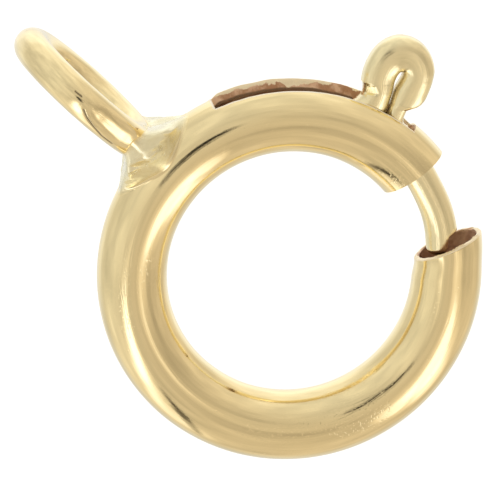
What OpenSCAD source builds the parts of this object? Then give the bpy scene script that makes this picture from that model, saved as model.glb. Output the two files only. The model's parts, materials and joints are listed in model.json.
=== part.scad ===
// Spring ring clasp: a hollow ring with a sprung bolt across its gap, and a soldered eye for the chain.
// Angles go round the ring from the side that faces away from the eye, so the eye itself is at 180 degrees.

/* [Ring] */
// Outside diameter of the ring
ring_d = 6; // [5:0.1:9]
// Diameter of the tube that the ring is bent from
tube_d = 1.09; // [0.95:0.01:1.3]
// Wall of the tube
tube_wall = 0.12; // [0.08:0.01:0.15]

/* [Gap] */
// Angle of the open end that catches the bolt's nose
catch_at = 50.4; // [44:0.1:58]
// How far that end's face leans away from a radius
catch_skew = 14; // [0:0.5:16]
// Angle from the catching end to the end that guides the bolt
gap_angle = 30.7; // [24:0.1:36]
// How far the guiding end's face leans away from a radius
guide_skew = -4.5; // [-10:0.5:4]

/* [Trigger slot] */
// Clearance on each side of the bolt's wire in the slot
slot_play = 0.025; // [0.02:0.005:0.04]
// Angle of closed tube between the gap and the slot
slot_land = 10.6; // [8:0.1:14]
// Angle that the slot takes up
slot_angle = 64.8; // [60:0.1:72]

/* [Bolt] */
// Diameter of the bolt's wire
bolt_d = 0.49; // [0.4:0.01:0.49]
// How far the bolt's nose reaches past the catching end
nose_reach = 0.1; // [0:0.01:0.15]
// Width that the bevel on its outer side leaves at the nose's end
nose_flat = 0.34; // [0.16:0.01:0.4]
// Angle between the bevel and the wire
nose_bevel = 46; // [20:1:50]
// Least space between the bolt and the bore that it slides in
bolt_play = 0.02; // [0.015:0.005:0.05]
// Share of the bolt's slack that the nose lies inside the centre line, the foot lying outside it by all of the slack
nose_low = 0.35; // [0.3:0.01:0.9]
// Angle that the tail reaches on past the slot
tail_lap = 4; // [2:0.5:8]

/* [Thumb trigger] */
// Angle of free slot between its end and the trigger
trigger_play = 4.7; // [2:0.1:5]
// How far the trigger stands out of the ring
trigger_h = 1.13; // [0.9:0.01:1.4]
// How far the trigger leans towards the eye
trigger_lean = 12.8; // [8:0.1:16]
// Space between the trigger's legs at the bend
trigger_gap = 0.12; // [0.1:0.01:0.24]
// How far the bend goes on past a half turn, so that the back leg closes in on the front one
trigger_close = 15; // [8:1:18]
// Height of the shoulders over the ring, below which the legs are narrowed
shoulder_h = 0.15; // [0.1:0.01:0.25]
// Width of the leg next to the gap, below its shoulder
front_neck_d = 0.26; // [0.22:0.01:0.4]
// Width of the leg on the spring's side, below its shoulder
back_neck_d = 0.44; // [0.3:0.01:0.47]
// Space between the two legs in the slot
neck_gap = 0.06; // [0.05:0.01:0.12]
// How far the narrowed front leg stands back from its inner side
neck_inset = 0.01; // [0.01:0.005:0.03]

/* [Coil spring] */
// Space between the coil and the bore
coil_clear = 0.145; // [0.12:0.005:0.18]
// Diameter of the spring's wire
coil_wire_d = 0.09; // [0.07:0.01:0.1]
// Number of turns
coil_turns = 22; // [16:1:24]
// Space left at each end of the spring
coil_play = 0.03; // [0.02:0.01:0.06]
// Angle at which the spring's plug starts
plug_at = 252; // [246:1:262]
// Angle that the plug takes up
plug_angle = 10; // [6:1:16]

/* [Chain eye] */
// Outside diameter of the eye
eye_d = 2.75; // [2.3:0.01:3.4]
// Diameter of the eye's wire
eye_wire_d = 0.55; // [0.45:0.01:0.7]
// How deep the eye is let into the tube's wall
eye_seat = 0.06; // [0.04:0.01:0.08]
// Radius of the solder's hollow between eye and ring
solder_r = 0.45; // [0.2:0.01:0.5]
// Width of the solder across the ring
solder_w = 1.2; // [0.9:0.01:1.3]

/* [Hidden] */
$fn = 96;
gold = "#d8c08c";
bright_gold = "#e2cc98";
spring_steel = "#b9b7b0";

// Ring and tube
ring_r = (ring_d - tube_d) / 2;
tube_r = tube_d / 2;
bore_r = tube_r - tube_wall;
guide_at = catch_at + gap_angle;
slot_at = guide_at + slot_land;
slot_end = slot_at + slot_angle;
slot_w = bolt_d + 2 * slot_play;
// Every cutter reaches this far past the metal that it cuts
over = tube_d;
// The bent wire is a little slimmer past its bend, and the straight piece starts this far inside the bend
drawn = 0.01;

// Eye
eye_wire_r = eye_wire_d / 2;
eye_r = (eye_d - eye_wire_d) / 2;
eye_at = ring_d / 2 + eye_d / 2 - eye_seat;
// The eye is the thicker of the two across the ring's plane, so the clasp lies with its eye's end raised
lie_tilt = asin((eye_d / 2 - tube_r) / (eye_at + ring_r));
ring_h = ring_r * sin(lie_tilt) + tube_r;

// Where a ray at an angle to the one through a point of the ring's centre line reaches a given radius
function ray_to(radius, lean) = sqrt(radius ^ 2 - (ring_r * sin(lean)) ^ 2) - ring_r * cos(lean);
function polar(radius, angle) = radius * [cos(angle), sin(angle)];
function degrees_along(length) = length / ring_r * 180 / PI;

// Trigger: a hairpin on an axis that starts at the tube's centre line and leans towards the eye.
// The front leg is next to the gap and runs straight. The back leg closes in on it as it goes down.
// Places across the axis count from it towards the eye.
bend_r = (trigger_gap + bolt_d) / 2;
slit_at = -trigger_gap / 2 - neck_inset;
front_neck_at = slit_at - front_neck_d / 2;
back_neck_at = slit_at + neck_gap + back_neck_d / 2;
// How far round the ring a point of the trigger lies from the foot of its axis
function trigger_ahead(out, across) = atan2(
    out * sin(trigger_lean) + across * cos(trigger_lean),
    ring_r + out * cos(trigger_lean) - across * sin(trigger_lean));
front_edge = front_neck_at - front_neck_d / 2;
trigger_at = slot_at + trigger_play - trigger_ahead(ray_to(ring_d / 2, trigger_lean), front_edge);
trigger_foot = polar(ring_r, trigger_at);
trigger_along = polar(1, trigger_at + trigger_lean);
trigger_across = [-trigger_along.y, trigger_along.x];
bend_out = ray_to(ring_d / 2 + trigger_h - bend_r - bolt_d / 2, trigger_lean);
shoulder_out = ray_to(ring_d / 2 + shoulder_h, trigger_lean);
function on_trigger(out, across) = trigger_foot + out * trigger_along + across * trigger_across;
trigger_top = on_trigger(bend_out, 0).y + bend_r + bolt_d / 2;

// Bolt: an arc as wide as the ring's centre line, set off its centre by as much as the bore allows,
// so that its foot stands high in the slot and its nose lies low in the catching end
nose_at = catch_at - degrees_along(nose_reach);
foot_at = trigger_at + trigger_ahead(0, slit_at + neck_gap / 4);
foot_high = bore_r - bolt_d / 2 - bolt_play;
nose_deep = nose_low * foot_high;
arc_centre = [
    foot_high * sin(nose_at) + nose_deep * sin(foot_at),
    -foot_high * cos(nose_at) - nose_deep * cos(foot_at)
] / sin(nose_at - foot_at);
// Angle about the arc's own centre of a point at a given angle about the ring's centre
function arc_angle(angle) = let(p = polar(ring_r, angle) - arc_centre) atan2(p.y, p.x);
nose_arc = arc_angle(nose_at);
foot_arc = arc_angle(foot_at);
tail_from = trigger_at + trigger_ahead(0, slit_at + neck_gap * 3 / 4);
tail_to = slot_end + tail_lap;

// Spring
coil_from = tail_to + degrees_along(coil_play + coil_wire_d / 2);
coil_to = plug_at - degrees_along(coil_play + coil_wire_d / 2);
coil_r = bore_r - coil_clear - coil_wire_d / 2;

// The row's frame: the clasp lies on the ground, with the middle of its outline over the origin
left_x = -eye_at * cos(lie_tilt) - eye_d / 2;
right_x = ring_r * cos(lie_tilt) + tube_r;
middle = [(left_x + right_x) / 2, (trigger_top - ring_d / 2) / 2];

module lying() {
    translate([-middle.x, -middle.y, ring_h]) rotate([0, lie_tilt, 0]) children();
}

// A round bar that follows the ring's centre line between two angles
module ring_bar(diameter, from, to) {
    rotate([0, 0, from]) rotate_extrude(angle = to - from) translate([ring_r, 0]) circle(d = diameter);
}

// A straight round wire in the ring's plane from one point to another
module wire(from, to, diameter) {
    run = to - from;
    translate(from) rotate([0, 90, atan2(run.y, run.x)]) cylinder(h = norm(run), d = diameter);
}

module gap_cut() {
    function face(angle, skew, along) = polar(ring_r, angle) + polar(along, angle + skew);
    linear_extrude(height = 2 * tube_d, center = true) polygon([
        face(guide_at, guide_skew, -over), face(guide_at, guide_skew, over),
        face(catch_at, catch_skew, over), face(catch_at, catch_skew, -over)
    ]);
}

module slot_cut() {
    rotate([0, 0, slot_at]) rotate_extrude(angle = slot_angle)
        translate([ring_r, -slot_w / 2]) square([over, slot_w]);
}

module eye() {
    translate([-eye_at, 0]) rotate([90, 0, 0]) rotate_extrude() translate([eye_r, 0]) circle(d = eye_wire_d);
}

// Solder in the corners between the ring and the eye's wire: hollow arcs that run into both
module solder() {
    wire_at = eye_at - eye_r;
    hollow_r = ring_d / 2 + solder_r;
    reach = eye_wire_r + solder_r;
    spread = acos((wire_at ^ 2 + hollow_r ^ 2 - reach ^ 2) / (2 * wire_at * hollow_r));
    intersection() {
        rotate([0, -90, 0]) cylinder(h = eye_at, d = solder_w);
        linear_extrude(height = solder_w, center = true) difference() {
            polygon([
                polar(ring_r, 180 + spread), polar(hollow_r, 180 + spread), [-wire_at, 0],
                polar(hollow_r, 180 - spread), polar(ring_r, 180 - spread)
            ]);
            for (side = [-1, 1]) translate(polar(hollow_r, 180 + side * spread)) circle(r = solder_r);
        }
    }
}

module ring_body() {
    color(gold) lying() {
        difference() {
            union() {
                ring_bar(tube_d, 0, 360);
                eye();
                solder();
            }
            ring_bar(2 * bore_r, 0, 360);
            gap_cut();
            slot_cut();
        }
        // The plug is soldered into the tube, half a wall deep
        ring_bar(2 * bore_r + tube_wall, plug_at, plug_at + plug_angle);
    }
}

// The arc from the nose to the foot of the trigger, with the nose's outer side bevelled off
module bolt_arc() {
    translate(arc_centre) rotate([0, 0, nose_arc]) difference() {
        rotate_extrude(angle = foot_arc - nose_arc) translate([ring_r, 0]) circle(d = bolt_d);
        translate([ring_r - bolt_d / 2 + nose_flat, 0]) rotate([0, 0, -nose_bevel])
            translate([0, -over, -over]) cube(2 * over);
    }
}

module trigger() {
    front_shoulder = on_trigger(shoulder_out, -bend_r);
    back_top = on_trigger(bend_out - bend_r * sin(trigger_close), bend_r * cos(trigger_close));
    back_leg = (bend_out - shoulder_out) / cos(trigger_close) - bend_r * tan(trigger_close);
    back_down = polar(1, trigger_at + trigger_lean + 180 + trigger_close);
    translate(on_trigger(bend_out, 0)) rotate([0, 0, trigger_at + trigger_lean - 90])
        rotate_extrude(angle = 180 + trigger_close) translate([bend_r, 0]) circle(d = bolt_d);
    wire(on_trigger(bend_out + drawn, -bend_r), front_shoulder, bolt_d - drawn);
    wire(on_trigger(shoulder_out, front_neck_at), on_trigger(0, front_neck_at), front_neck_d);
    wire(back_top - drawn * back_down, back_top + back_leg * back_down, bolt_d - drawn);
    wire(on_trigger(shoulder_out + bolt_d / 4, back_neck_at), on_trigger(0, back_neck_at), back_neck_d);
}

module bolt() {
    color(bright_gold) lying() {
        bolt_arc();
        trigger();
        ring_bar(bolt_d, tail_from, tail_to);
    }
}

// A coil whose own axis follows the ring's centre line, as rings of points swept along the helix
module coil_spring() {
    steps = 12;
    sides = 6;
    rings = coil_turns * steps;
    function coil_point(i, j) =
        let(
            share = i / rings,
            round = 360 * i / steps,
            ring_angle = coil_from + share * (coil_to - coil_from),
            side = 360 * j / sides,
            out = coil_r + coil_wire_d / 2 * cos(side),
            radius = ring_r + out * cos(round),
            along = coil_wire_d / 2 * sin(side),
            p = polar(radius, ring_angle) + polar(along, ring_angle + 90)
        ) [p.x, p.y, out * sin(round)];
    points = [for (i = [0:rings]) for (j = [0:sides - 1]) coil_point(i, j)];
    skin = [for (i = [0:rings - 1]) for (j = [0:sides - 1])
        let(a = i * sides + j, b = i * sides + (j + 1) % sides) each [[a, b, b + sides], [a, b + sides, a + sides]]];
    start = [for (j = [1:sides - 2]) [0, j + 1, j]];
    last = rings * sides;
    end = [for (j = [1:sides - 2]) [last, last + j, last + j + 1]];
    color(spring_steel) lying() polyhedron(points, concat(skin, start, end));
}

ring_body();
bolt();
coil_spring();
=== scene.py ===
# %% [markdown]
# # A spring ring clasp
# The real thing is a jewellery finding six millimetres across: a hollow ring bent from thin tube, a sprung
# bolt of round wire that closes its gap, a thumb trigger folded out of the same wire, and an eye for the
# chain, soldered on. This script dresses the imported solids. Every new piece is a surface worked out as whole
# arrays of points, because polished metal shows each facet as a kink in its reflections, and a formula gives
# as fine a surface as is wanted.

import json

import bpy
import numpy as np
from mathutils import Matrix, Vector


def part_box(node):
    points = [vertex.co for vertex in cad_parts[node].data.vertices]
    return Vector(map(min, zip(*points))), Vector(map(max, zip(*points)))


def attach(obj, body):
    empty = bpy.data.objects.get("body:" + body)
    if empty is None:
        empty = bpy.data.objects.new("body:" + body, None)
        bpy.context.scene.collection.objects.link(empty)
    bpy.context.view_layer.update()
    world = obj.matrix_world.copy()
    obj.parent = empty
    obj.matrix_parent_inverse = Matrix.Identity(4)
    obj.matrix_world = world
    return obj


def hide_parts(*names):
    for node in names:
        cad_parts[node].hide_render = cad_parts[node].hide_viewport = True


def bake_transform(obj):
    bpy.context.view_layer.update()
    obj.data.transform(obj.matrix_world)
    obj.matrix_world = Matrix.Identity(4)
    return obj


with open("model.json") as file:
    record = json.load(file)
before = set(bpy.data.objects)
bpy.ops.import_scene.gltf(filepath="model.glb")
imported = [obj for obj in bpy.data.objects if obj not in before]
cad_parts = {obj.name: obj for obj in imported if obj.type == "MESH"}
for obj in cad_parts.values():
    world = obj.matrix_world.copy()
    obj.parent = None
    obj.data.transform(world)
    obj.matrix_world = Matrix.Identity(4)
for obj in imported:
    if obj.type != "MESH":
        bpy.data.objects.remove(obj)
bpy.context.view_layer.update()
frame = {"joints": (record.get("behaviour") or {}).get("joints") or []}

# %% [markdown]
# ## One set of axes for the ring
# The clasp lies a little tilted, because its eye is thicker than its ring. Shapes are easier to write in the
# ring's own millimetres, with its centre at the origin and its axis along z, so one function carries points
# from there to the frame. The centre and the axis are those of the joint that the bolt turns about.

# %% From the ring's own millimetres to the frame
MM = 0.001
slide = frame["joints"][0]
RING_CENTRE = np.array(slide["pos_m"])
RING_AXIS = np.array(slide["axis"]) / np.linalg.norm(slide["axis"])
RING_SIDE = np.array([0.0, 1.0, 0.0])
RING_AHEAD = np.cross(RING_SIDE, RING_AXIS)
RING_AXES = np.array([RING_AHEAD, RING_SIDE, RING_AXIS])


def to_frame(points):
    """Points in the ring's millimetres, times the three axes, from the ring's centre, in metres."""
    return RING_CENTRE + MM * np.asarray(points) @ RING_AXES


print("ring centre", np.round(RING_CENTRE / MM, 3), "axis", np.round(RING_AXIS, 4))

# %% [markdown]
# ## The sizes that the solids were made to
# The ring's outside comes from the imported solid. The others are the same driving sizes that the solids have,
# in millimetres and degrees. Angles go round the ring from the side that faces away from the eye.

# %% Driving sizes
ring_low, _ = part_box("ring_body")
RING_OUT = round((RING_CENTRE[1] - ring_low.y) / MM, 2)
TUBE_R = 0.545
WALL = 0.12
BORE_R = TUBE_R - WALL
RING_R = RING_OUT - TUBE_R
CATCH_AT, CATCH_SKEW = 50.4, 14.0
GUIDE_AT, GUIDE_SKEW = 81.1, -4.5
SLOT_AT, SLOT_END, SLOT_W = 91.7, 156.5, 0.54
BOLT_R = 0.245
EYE_WIRE_R = 0.275
EYE_R = 1.10
EYE_AT = 4.315
print("ring", 2 * RING_OUT, "mm outside, tube", 2 * TUBE_R, "mm, centre line", round(RING_R, 3), "mm")

# %% [markdown]
# ## The camera
# The photograph was taken with a long lens from almost straight above. A far camera with a very long lens
# shows the same flat perspective. Its axes are worked out from three turns: how far the ring is turned in its
# own plane, how far the camera leans back, and how far it leans to the side.

# %% Camera
RING_TURN, LEAN_BACK, LEAN_SIDE = np.radians([40.8, 13.9, 7.1])
PICTURE_PX = 500
PX_PER_MM = 64.63
RING_PX = (289.5, 270.6)
CAMERA_FAR = 0.3


def photo_axes():
    """The picture's right, up and towards-the-camera directions in the frame: a lean to the side, then a lean
    back, in the axes of the upright ring, which are then turned in the ring's plane."""
    sb, cb, ss, cs = np.sin(LEAN_BACK), np.cos(LEAN_BACK), np.sin(LEAN_SIDE), np.cos(LEAN_SIDE)
    upright = np.array([[cs, sb * ss, cb * ss], [0, cb, -sb], [-ss, sb * cs, cb * cs]])
    st, ct = np.sin(RING_TURN), np.cos(RING_TURN)
    return upright @ np.array([[ct, st, 0], [-st, ct, 0], [0, 0, 1]]) @ RING_AXES


RIGHT, UP, TOWARDS = photo_axes()
half = PICTURE_PX / 2
aim = RING_CENTRE + MM / PX_PER_MM * ((half - RING_PX[0]) * RIGHT + (RING_PX[1] - half) * UP)
camera = bpy.data.objects.new("camera", bpy.data.cameras.new("camera"))
bpy.context.scene.collection.objects.link(camera)
bpy.context.scene.camera = camera
camera.data.sensor_width = 36
camera.data.lens = camera.data.sensor_width * CAMERA_FAR / (PICTURE_PX / PX_PER_MM * MM)
camera.data.clip_start, camera.data.clip_end = 0.01, 10
turn = np.eye(4)
turn[:3, 0], turn[:3, 1], turn[:3, 2] = RIGHT, UP, TOWARDS
turn[:3, 3] = aim + CAMERA_FAR * TOWARDS
camera.matrix_world = Matrix(turn.tolist())
print("lens", round(camera.data.lens), "mm")
print("camera", round(np.degrees(np.arcsin(TOWARDS[2])), 1), "degrees up")

# %% [markdown]
# ## Writing shaders as sums
# A node tree is easier to read as a formula. A Value wraps one output socket, and Python's operators on it
# add Math nodes. Every other node comes from one method that takes the node's type, its settings, and what
# its sockets hold.

# %% Node helpers


class Value:
    """One output socket. Sums, differences, products and abs() of it add Math nodes to its tree."""

    def __init__(self, nodes, socket):
        self.nodes = nodes
        self.socket = socket

    def _math(self, operation, first, second):
        return self.nodes.add("ShaderNodeMath", {"operation": operation}, {0: first, 1: second})

    def __add__(self, other):
        return self._math("ADD", self, other)

    def __sub__(self, other):
        return self._math("SUBTRACT", self, other)

    def __rsub__(self, other):
        return self._math("SUBTRACT", other, self)

    def __mul__(self, other):
        return self._math("MULTIPLY", self, other)

    def __abs__(self):
        return self.nodes.add("ShaderNodeMath", {"operation": "ABSOLUTE"}, {0: self})

    __radd__ = __add__
    __rmul__ = __mul__


class Nodes:
    """A node tree that is emptied and then filled one node at a time."""

    def __init__(self, tree):
        self.tree = tree
        tree.nodes.clear()

    def add(self, kind, settings, sockets, out=0):
        """Adds a node, sets its settings and then its sockets, and returns its output as a Value."""
        node = self.tree.nodes.new(kind)
        for name, setting in settings.items():
            setattr(node, name, setting)
        for name, value in sockets.items():
            if isinstance(value, Value):
                self.tree.links.new(value.socket, node.inputs[name])
            else:
                node.inputs[name].default_value = value
        return Value(self, node.outputs[out]) if len(node.outputs) else node

    def step(self, value, start, end, low=0.0, high=1.0):
        """A value that goes smoothly from low to high while the given value goes from start to end."""
        sockets = {"Value": value, "From Min": start, "From Max": end, "To Min": low, "To Max": high}
        return self.add("ShaderNodeMapRange", {"interpolation_type": "SMOOTHSTEP"}, sockets)

    def noise(self, vector, scale, detail=2.0, roughness=0.5):
        """Smooth noise from 0 to 1 at a scale in waves to the unit of the vector."""
        sockets = {"Vector": vector, "Scale": scale, "Detail": detail, "Roughness": roughness}
        return self.add("ShaderNodeTexNoise", {}, sockets)

    def blend(self, share, first, second):
        """The first colour at share 0 and the second at share 1."""
        return self.add("ShaderNodeMix", {"data_type": "RGBA"}, {0: share, 6: first, 7: second}, out=2)

    def stretch(self, vector, x, y, z):
        """A vector with each part times its own number."""
        return self.add("ShaderNodeVectorMath", {"operation": "MULTIPLY"}, {0: vector, 1: (x, y, z)})

    def dot(self, vector, axis):
        """How far a vector reaches along a fixed axis."""
        sockets = {0: vector, 1: tuple(axis)}
        return self.add("ShaderNodeVectorMath", {"operation": "DOT_PRODUCT"}, sockets, out="Value")

    def attribute(self, name, out="Fac"):
        """A number that the mesh carries under a name, or with out="Vector" a vector."""
        return self.add("ShaderNodeAttribute", {"attribute_name": name}, {}, out=out)

    def place(self):
        """The point's own place on the piece, in metres."""
        return self.add("ShaderNodeTexCoord", {}, {}, out="Object")

    def bump(self, strength, distance, height):
        """A normal that leans as a relief of the given height would, whose unit is the given distance."""
        sockets = {"Strength": strength, "Distance": distance, "Height": height}
        return self.add("ShaderNodeBump", {}, sockets, out="Normal")


# %% [markdown]
# ## Directions as the lens sees them
# Polished gold has almost no colour pattern of its own: it shows what stands round it. The photograph's
# highlights were followed back from the ring's surface to the directions that they come from. A direction is
# written down the way it was found: how far it lies off the lens, and towards which side of the picture.

# %% Directions


def from_lens(degrees, clock):
    """The direction that lies so many degrees off the lens, towards the clock angle in the picture, where 0
    is right and 90 is up: its cosine towards the lens and its sine across."""
    off, turned = np.radians([degrees, clock])
    return np.cos(off) * TOWARDS + np.sin(off) * (np.cos(turned) * RIGHT + np.sin(turned) * UP)


# %% [markdown]
# ## Two lamps, weaker lights and shades
# The highlights give an even pale tent with a long lamp at the lower left and another at the lower right,
# each with a hotter middle. Weaker and wider lights stand round them. Of the shades, the first is the dark
# round of the lens itself, the second a dark line beside the left lamp, and the others only grey the white a
# little. Lamp objects would light the clasp too, but each has to be aimed by itself. Here each is a soft
# ellipse on the sky, written as one row.

# %% Lamps and shades
# Degrees off the lens, clock angle, half length outwards and half width across in degrees, softness of the
# edge, and what it adds to the tent's brightness
LAMPS = [
    (66, 233, 36, 9, 0.8, 0.45),
    (60, 233, 24, 5.5, 0.7, 0.76),
    (100, 222, 26, 22, 0.9, 0.16),
    (108, 243, 16, 11, 0.8, 0.35),
    (72, 315, 38, 12, 0.8, 0.34),
    (66, 314, 20, 7.5, 0.7, 0.62),
    (72, 303, 17, 5, 0.8, 0.44),
    (97, 316, 20, 7, 0.8, 0.20),
    (34, 320, 7, 3, 0.9, 0.22),
    (62, 97, 35, 45, 0.9, 0.12),
    (50, 180, 34, 34, 0.9, 0.07),
    (86, 45, 30, 30, 0.9, 0.09),
    (112, 88, 30, 32, 0.9, 0.28),
]
SHADES = [
    (6, 238, 8.5, 6.2, 0.25, -0.60),
    (90, 249, 28, 2.8, 0.4, -0.58),
    (39, 293, 6, 3, 0.9, -0.08),
    (48, 345, 30, 28, 0.9, -0.09),
    (50, 275, 30, 30, 0.9, -0.05),
]
# How much noise frays the edges
LAMP_FRAY, SHADE_FRAY = 0.3, 2.4
print(len(LAMPS), "patches of light and", len(SHADES), "of shade")

# %% [markdown]
# ## A patch of the tent
# The tent is the world, because only directions matter to a thing this small. Nodes work out for each
# direction what each ellipse adds. Noise frays the edges, because a clean edge would show in the gold as a
# drawn line.

# %% Patches
FRAY_SCALE = 38.0
world = bpy.data.worlds.new("tent")
bpy.context.scene.world = world
world.use_nodes = True
tent = Nodes(world.node_tree)
direction = tent.add("ShaderNodeTexCoord", {}, {}, out="Generated")
fray = tent.noise(direction, FRAY_SCALE, 2.0) - 0.5


def patch(off, clock, length, width, soft, amount, frayed):
    """What a soft ellipse adds. The two distances from its centre, each over its own half size, are squared
    and summed: the patch is full where the sum is below 1 - soft, and ends where it is 1 + soft."""
    centre, outwards = from_lens(off, clock), from_lens(off + 90, clock)
    across = np.cross(centre, outwards)
    along = tent.dot(direction, outwards / np.sin(np.radians(length)))
    aside = tent.dot(direction, across / np.sin(np.radians(width)))
    facing = tent.step(tent.dot(direction, centre), 0.0, 0.1)
    return tent.step(along * along + aside * aside + fray * frayed, 1 + soft, 1 - soft) * facing * amount


# %% [markdown]
# ## The tent's light
# The brightness is the sum of an even level, slow unevenness, the white below, and all patches. The white is
# a little warm, more so towards the picture's lower right, and turns cooler below and wherever the tent is
# bright, as a lamp does through white cloth.

# %% The tent
TENT_LEVEL = 0.68
TENT_UNEVEN, UNEVEN_SCALE = 0.6, 3.0
WARM, WARMER, COOL = (1.0, 0.945, 0.82, 1), (1.0, 0.86, 0.67, 1), (1, 0.985, 0.95, 1)
below = tent.step(tent.dot(direction, (0, 0, 1)), -0.35, -0.9)
uneven = tent.noise(direction, UNEVEN_SCALE, 3.0) - 0.5
white_below = below * tent.step(tent.dot(direction, UP), -0.4, 0.4, 0.08, 0.35)
level = TENT_LEVEL + uneven * TENT_UNEVEN + white_below
for row in LAMPS:
    level = level + patch(*row, frayed=LAMP_FRAY)
for row in SHADES:
    level = level + patch(*row, frayed=SHADE_FRAY)
hue = tent.blend(tent.step(tent.dot(direction, RIGHT * 0.8 - UP * 0.6), -0.8, 0.8), WARM, WARMER)
hue = tent.blend(below, hue, COOL)
hue = tent.blend(tent.step(level, 0.85, 1.4), hue, COOL)
glow = tent.add("ShaderNodeBackground", {}, {"Color": hue, "Strength": level})
tent.add("ShaderNodeOutputWorld", {}, {"Surface": glow})
bpy.context.scene.view_settings.view_transform = "Standard"
print(len(world.node_tree.nodes), "nodes in the tent")

# %% [markdown]
# ## The floor
# The clasp lies on a plain white table that is lit so brightly that it is nearly pure white. The gold doesn't
# mirror the table but the tent's own white below, which is even, so the clasp's edges stay as pale as in
# the photograph.

# %% Floor
FLOOR_SIDE = 2.0
floor_mesh = bpy.data.meshes.new("floor")
corner = FLOOR_SIDE / 2
square = [(-corner, -corner, 0), (corner, -corner, 0), (corner, corner, 0), (-corner, corner, 0)]
floor_mesh.from_pydata(square, [], [(0, 1, 2, 3)])
floor = bpy.data.objects.new("floor", floor_mesh)
bpy.context.scene.collection.objects.link(floor)
floor.visible_glossy = False
table = bpy.data.materials.new("white_table")
table.use_nodes = True
shade = Nodes(table.node_tree)
white = shade.add("ShaderNodeBsdfPrincipled", {}, {
    "Base Color": (0.5, 0.5, 0.5, 1), "Roughness": 0.9, "Specular IOR Level": 0.0,
    "Emission Color": (1, 1, 1, 1), "Emission Strength": 0.85})
shade.add("ShaderNodeOutputMaterial", {}, {"Surface": white})
floor_mesh.materials.append(table)

# %% [markdown]
# ## Metals
# Six finishes show. The tube and the eye are polished gold with the hair scratches that a cloth leaves, and
# with a few longer scratches and nicks where the clasp was handled. The bolt is the same gold, thumbed until
# it is paler and rougher. The solder is cast: paler, lumpy, pitted and partly matt, but it runs out into the
# polish at its rims. Inside the tube the metal was never polished, and is a brown copper alloy. Its cut edges
# are torn, smeared with gold from the outer skin, and painted darkest next to the bore, as shade. The outer
# skin ends in a pale matt burr, whose paleness is partly a painted highlight. The coil is of drawn steel,
# which is grey.
#
# A pattern could be tied to places in space, but a scratch follows a wire that bends. So each piece carries
# numbers of its own. Bar is the place of a point on the wire if it were straight, in millimetres. Another
# number darkens the eye's scored lines, as dirt with painted shade, and turns the walls of the bolt's slit a
# dull tan, as painted shade. Spread is how far the solder stands clear of its rims. Depth is how deep in the
# wall a cut edge lies, from 0 outside to 1 inside; the lower it is below 0, the more gold covers the copper,
# near 1 the copper is painted darkest as shade from the bore, and -1 is the burr.

# %% Colours of the metals
DEEP_GOLD, LIGHT_GOLD = np.array([0.962, 0.825, 0.50, 1]), np.array([0.980, 0.85, 0.535, 1])
WORN_PALER = np.array([0.012, 0.05, 0.07, 0])
# Dirt with painted shade for the eye's scored lines, and how much paler the bolt slit's painted shade is
DIRT_AND_SHADE, WORN_SLIT_SHADE_PALER = np.array([0.24, 0.185, 0.10, 1]), np.array([0.50, 0.45, 0.34, 0])
SOLDER_RIM, DULL_SOLDER, LIGHT_SOLDER = (0.972, 0.838, 0.518, 1), (0.86, 0.82, 0.57, 1), (0.96, 0.92, 0.71, 1)
BROWN_COPPER, PALE_COPPER = (0.50, 0.29, 0.19, 1), (0.70, 0.46, 0.32, 1)
# The darkest copper is painted shade, on a cut edge beside the bore
TORN_COPPER, FRESH_COPPER, BORE_SHADE_COPPER = (0.50, 0.26, 0.14, 1), (0.88, 0.60, 0.42, 1), (0.20, 0.115, 0.06, 1)
# The burr's pale gold is its matt finish and a painted highlight along the near lip
SMEARED_GOLD, BURR_AND_HIGHLIGHT_GOLD = (0.99, 0.87, 0.64, 1), (1.0, 0.93, 0.80, 1)
DARK_STEEL, LIGHT_STEEL = (0.55, 0.54, 0.52, 1), (0.70, 0.69, 0.66, 1)
# What one unit of relief is, in metres, in the fine finishes and in the cast one
FINE, LUMPY = 0.02 * MM, 0.03 * MM


def metal(name, build):
    """A material whose shader sockets come from a function of its nodes."""
    material = bpy.data.materials.new(name)
    material.use_nodes = True
    nodes = Nodes(material.node_tree)
    shader = nodes.add("ShaderNodeBsdfPrincipled", {}, build(nodes))
    nodes.add("ShaderNodeOutputMaterial", {}, {"Surface": shader})
    return material


# %% [markdown]
# ## Polished gold
# What tells polished metal from a mirror ball is its fine relief. Noise stretched along the bar gives the
# marks of drawing and the hairs of polishing. A scratch is the line along which a smooth stretched noise
# crosses its middle value, so it runs on without a break. Specks and nicks are the tops of finer noises.

# %% Gold


def polished_gold(nodes, worn=0.0):
    """Two golds blended by a slow noise, and a relief that is the weighted sum of the marks. Worn goes from
    0, fresh from the polish, to 1, thumbed."""
    bar = nodes.attribute("bar", out="Vector")
    grime = nodes.attribute("grime")
    cloud = nodes.noise(bar, 1.3, 3.0)
    waves = nodes.noise(bar, 3.0, 2.0)
    drawn = nodes.noise(nodes.stretch(bar, 0.3, 13, 13), 1.0, 2.0)
    hairs = nodes.noise(nodes.stretch(bar, 1.5, 60, 60), 1.0, 3.0, 0.65)
    specks = nodes.step(nodes.noise(bar, 14.0, 2.0), 0.70, 0.80)
    handled = nodes.step(nodes.noise(bar, 0.9, 1.0), 0.56, 0.66)
    contour = abs(nodes.noise(nodes.stretch(bar, 0.5, 7, 7), 1.0, 1.0) - 0.5)
    scratched = nodes.step(contour, 0.012, 0.0) * handled
    nicked = nodes.step(nodes.noise(bar, 22.0, 2.0), 0.60, 0.66) * handled
    paler = WORN_PALER * worn
    tint = nodes.blend(cloud, DEEP_GOLD + paler, LIGHT_GOLD + paler)
    # Painted shade: the eye's scored lines turn dark, as dirt with shade, and the bolt's slit a dull tan
    tint = nodes.blend(grime, tint, DIRT_AND_SHADE + WORN_SLIT_SHADE_PALER * worn)
    rough = (0.04 + 0.07 * worn) + cloud * 0.05 + specks * 0.12 + scratched * 0.1 + grime * 0.2
    relief = drawn * 1.1 + hairs * (0.35 + 2.2 * worn) + waves * 0.5
    relief = relief - specks * 0.5 - scratched * 0.8 - nicked * 1.5
    normal = nodes.bump(0.1, FINE, relief)
    return {"Base Color": tint, "Metallic": 1 - grime * 0.7, "Roughness": rough, "Normal": normal}


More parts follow.
